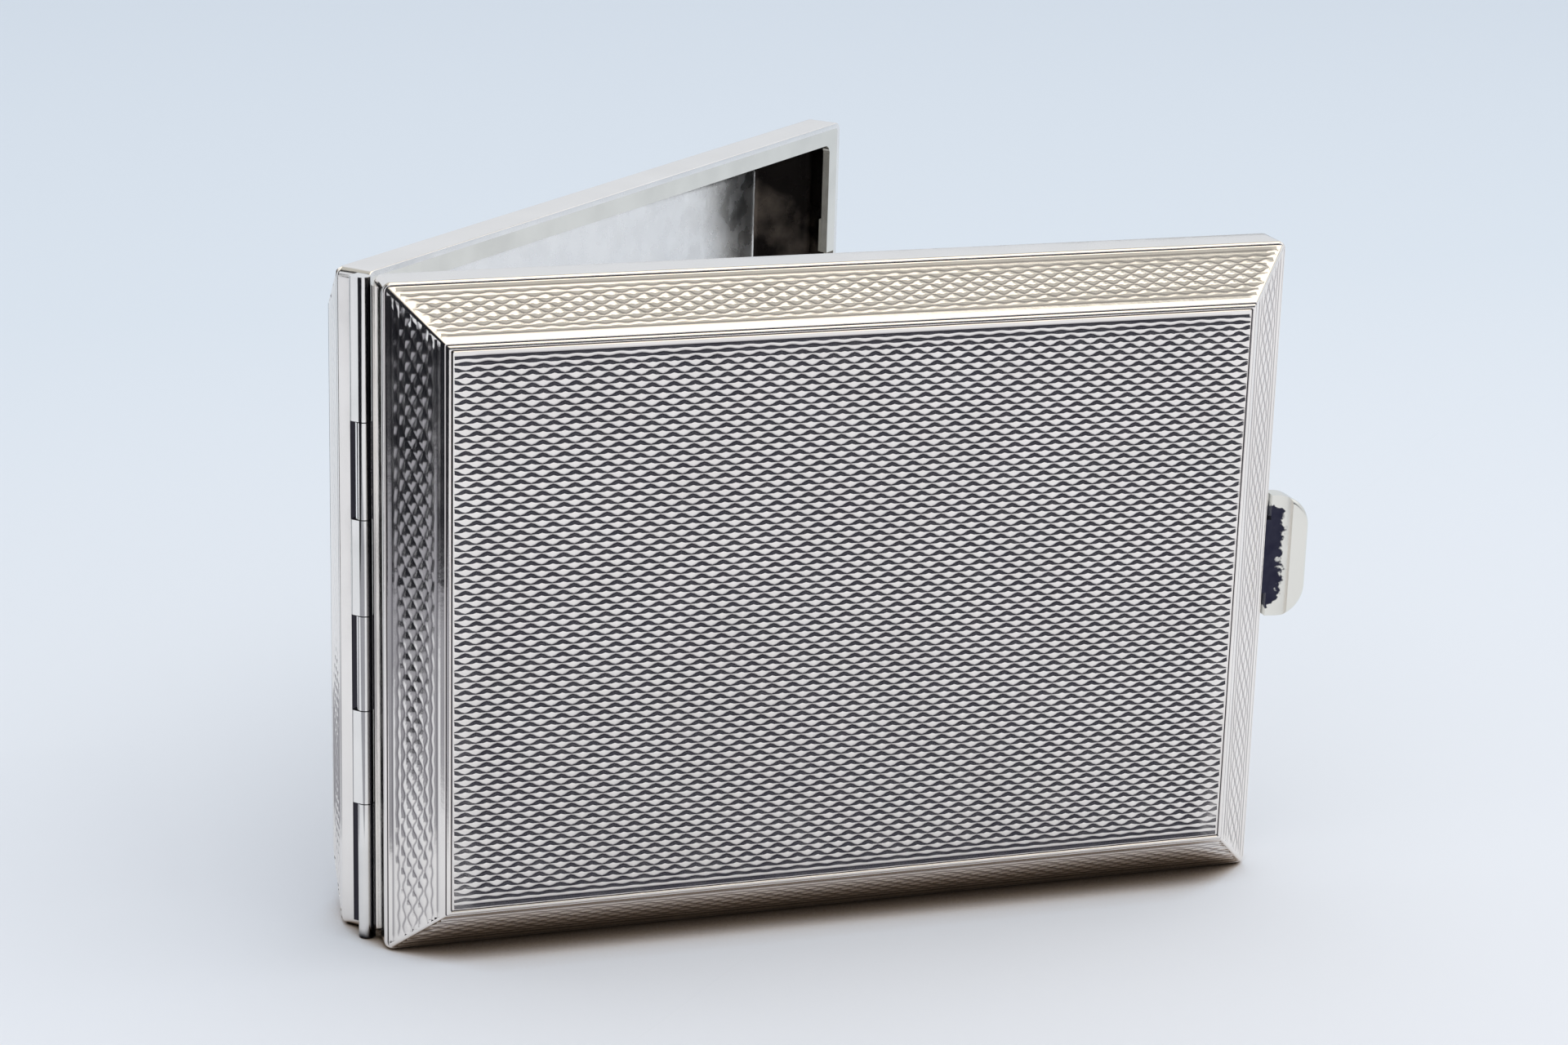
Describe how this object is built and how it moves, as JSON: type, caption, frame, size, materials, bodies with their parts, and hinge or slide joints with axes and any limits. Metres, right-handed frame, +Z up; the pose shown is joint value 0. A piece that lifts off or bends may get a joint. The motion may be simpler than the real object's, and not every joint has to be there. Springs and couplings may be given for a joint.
{
  "type": "business card case",
  "caption": "Hinged metal card case with bevelled engine-turned covers and a sprung thumb catch, standing half open.",
  "frame": {"origin": "middle of the front cover's bottom wall, the flat edge that the case stands on", "axes": "+X along the case's length from the hinge to the thumb catch, +Y from the front cover towards the rear cover, +Z up along the hinge"},
  "size_m": [0.0981, 0.0731, 0.066],
  "materials": {
    "engine_turned_silver": "engine-turned silver with polished ridges and darkened cuts, plain polished inside",
    "polished_silver": "hand-polished silver with light handling marks",
    "nickel_silver": "fine brushed",
    "spring_bronze": "rolled strip, satin",
    "pin_steel": "drawn wire"
  },
  "bodies": {
    "front_half": {"front_cover": "engine_turned_silver", "front_frame": "polished_silver", "front_hinge_bearer": "polished_silver", "front_knuckle_lower": "polished_silver", "front_knuckle_middle": "polished_silver", "front_knuckle_upper": "polished_silver", "hinge_pin": "pin_steel", "hinge_plug_lower": "polished_silver", "catch_guides": "nickel_silver", "catch_spring": "spring_bronze"},
    "rear_half": {"rear_cover": "engine_turned_silver", "rear_frame": "polished_silver", "rear_keeper": "nickel_silver", "rear_hinge_bearer": "polished_silver", "rear_knuckle_lower": "polished_silver", "rear_knuckle_middle": "polished_silver", "rear_knuckle_upper": "polished_silver", "hinge_plug_upper": "polished_silver"},
    "catch": {"thumb_piece": "polished_silver", "catch_bar": "nickel_silver", "catch_rivets": "nickel_silver"}
  },
  "joints": [
    {"name": "lid_hinge", "type": "hinge", "parent": "front_half", "child": "rear_half", "pos_m": [-0.04625, 0.00185, 0], "axis": [0, 0, 1], "range_deg": [-42.6, 137.4]},
    {"name": "thumb_catch", "type": "slide", "parent": "front_half", "child": "catch", "axis": [-1, 0, 0], "range_m": [0, 0.0008], "stiffness_N_per_m": 1500, "springref_m": -0.0008}
  ]
}
